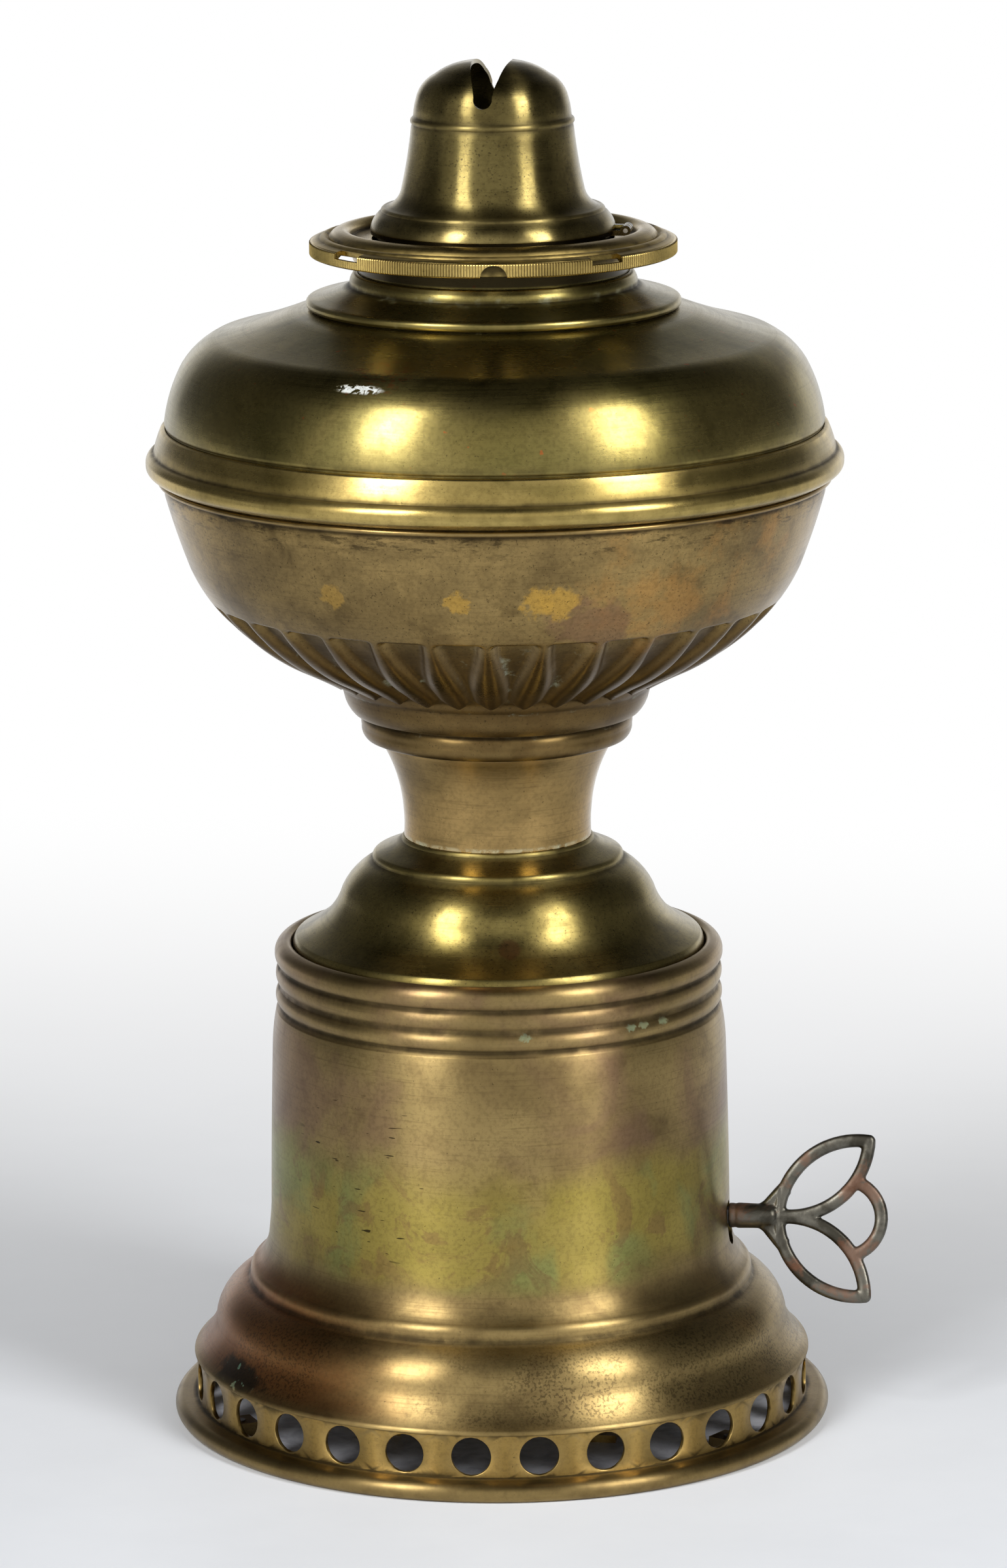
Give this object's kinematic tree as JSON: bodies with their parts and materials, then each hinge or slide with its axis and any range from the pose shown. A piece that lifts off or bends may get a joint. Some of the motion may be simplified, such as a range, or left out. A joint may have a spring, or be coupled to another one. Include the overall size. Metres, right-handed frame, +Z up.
{
  "type": "clockwork draught oil lamp",
  "caption": "Wind-up oil lamp: a spring-driven fan in the vented base blows air up a hollow stem, round the tank and out past a flat wick under a slotted cap.",
  "frame": {"origin": "on the lamp's centre line, in the plane that it stands on, at the middle of the bottom cover", "axes": "+Z up along the lamp's centre line, +X along the winding arbor towards the key, +Y to the back"},
  "size_m": [0.1606, 0.1502, 0.2978],
  "materials": {
    "casing_brass": "aged, purple-brown patina with a green-gold band",
    "font_brass": "dark olive-gold lacquered brass",
    "cap_brass": "rubbed olive-gold brass",
    "bowl_brass": "brown patina with gold heat patches",
    "stem_brass": "satin pinkish-brown",
    "shoulder_brass": "olive-gold",
    "bright_brass": "rubbed bright edges",
    "movement_brass": "clean clock brass",
    "tinned_sheet": "dull tinned sheet",
    "steel": "turned steel",
    "spring_steel": "blued steel",
    "cast_iron": "dark iron with rust at its tips",
    "wick_cotton": "woven cotton"
  },
  "bodies": {
    "root": {"base_casing": "casing_brass", "bottom_cover": "tinned_sheet", "cover_lugs": "casing_brass", "cover_screws": "steel", "movement_feet": "movement_brass", "front_plate": "movement_brass", "back_plate": "movement_brass", "plate_pillars": "movement_brass", "plate_screws": "steel", "mainspring": "spring_steel", "spring_post": "steel", "fan_bridge": "movement_brass", "fan_potence": "movement_brass", "shoulder_dome": "shoulder_brass", "stem": "stem_brass", "lower_bowl": "bowl_brass", "belt_ring": "bright_brass", "upper_bowl": "font_brass", "font_collar": "font_brass", "oil_tank": "tinned_sheet", "tank_stays": "tinned_sheet", "burner_plate": "movement_brass", "burner_neck": "font_brass", "spindle_bearings": "movement_brass", "wick_tube": "tinned_sheet", "cap_seat": "font_brass", "hinge_pin": "steel"},
    "winder": {"winding_arbor": "steel", "ratchet_wheel": "movement_brass", "wheel_washer": "movement_brass", "key": "cast_iron"},
    "great_wheel": {"great_wheel": "movement_brass", "click_screw": "steel", "click_spring": "spring_steel"},
    "click": {"click": "steel"},
    "second": {"second_arbor": "steel", "second_wheel": "movement_brass"},
    "third": {"third_arbor": "steel", "third_wheel": "movement_brass"},
    "contrate": {"contrate_arbor": "steel", "contrate_wheel": "movement_brass"},
    "fan": {"fan_arbor": "steel", "fan_collar": "movement_brass", "fan": "movement_brass"},
    "wick_spindle": {"wick_spindle": "movement_brass"},
    "wick": {"wick": "wick_cotton"},
    "gallery": {"gallery_ring": "bright_brass"},
    "cap": {"cap": "cap_brass"}
  },
  "joints": [
    {"name": "key_turn", "type": "hinge", "parent": "root", "child": "winder", "pos_m": [0, 0, 0.0447], "axis": [1, 0, 0], "continuous": true},
    {"name": "fan_spin", "type": "hinge", "parent": "root", "child": "fan", "pos_m": [0, 0, 0.098], "axis": [0, 0, 1], "continuous": true},
    {"name": "contrate_spin", "type": "hinge", "parent": "root", "child": "contrate", "pos_m": [0, 0, 0.072], "axis": [1, 0, 0], "continuous": true},
    {"name": "third_spin", "type": "hinge", "parent": "root", "child": "third", "pos_m": [0, -0.01574, 0.0717], "axis": [1, 0, 0], "continuous": true},
    {"name": "second_spin", "type": "hinge", "parent": "root", "child": "second", "pos_m": [0, -0.0265, 0.0537], "axis": [1, 0, 0], "continuous": true},
    {"name": "great_wheel_spin", "type": "hinge", "parent": "root", "child": "great_wheel", "pos_m": [0, 0, 0.0447], "axis": [1, 0, 0], "continuous": true},
    {"name": "click_lift", "type": "hinge", "parent": "great_wheel", "child": "click", "pos_m": [0.004, 0, 0.0602], "axis": [1, 0, 0], "range_deg": [0, 8]},
    {"name": "ring_turn", "type": "hinge", "parent": "root", "child": "gallery", "pos_m": [0, 0, 0.258], "axis": [0, 0, 1], "range_deg": [-9.2, 13.8]},
    {"name": "spindle_turn", "type": "hinge", "parent": "root", "child": "wick_spindle", "pos_m": [0.0036, 0, 0.2563], "axis": [0, 1, 0], "range_deg": [-153, 103]},
    {"name": "wick_raise", "type": "slide", "parent": "root", "child": "wick", "axis": [0, 0, 1], "range_m": [-0.0061, 0.0041]},
    {"name": "cap_tilt", "type": "hinge", "parent": "root", "child": "cap", "pos_m": [0.02875, 0, 0.262], "axis": [0, 1, 0], "range_deg": [0, 115]}
  ],
  "couplings": [
    {"joint": "contrate_spin", "follows": "fan_spin", "ratio": 0.16667},
    {"joint": "third_spin", "follows": "fan_spin", "ratio": -0.027778},
    {"joint": "second_spin", "follows": "fan_spin", "ratio": 0.0046296},
    {"joint": "great_wheel_spin", "follows": "fan_spin", "ratio": -0.0007716},
    {"joint": "spindle_turn", "follows": "ring_turn", "ratio": -11},
    {"joint": "wick_raise", "follows": "ring_turn", "m_per_rad": -0.02442}
  ]
}
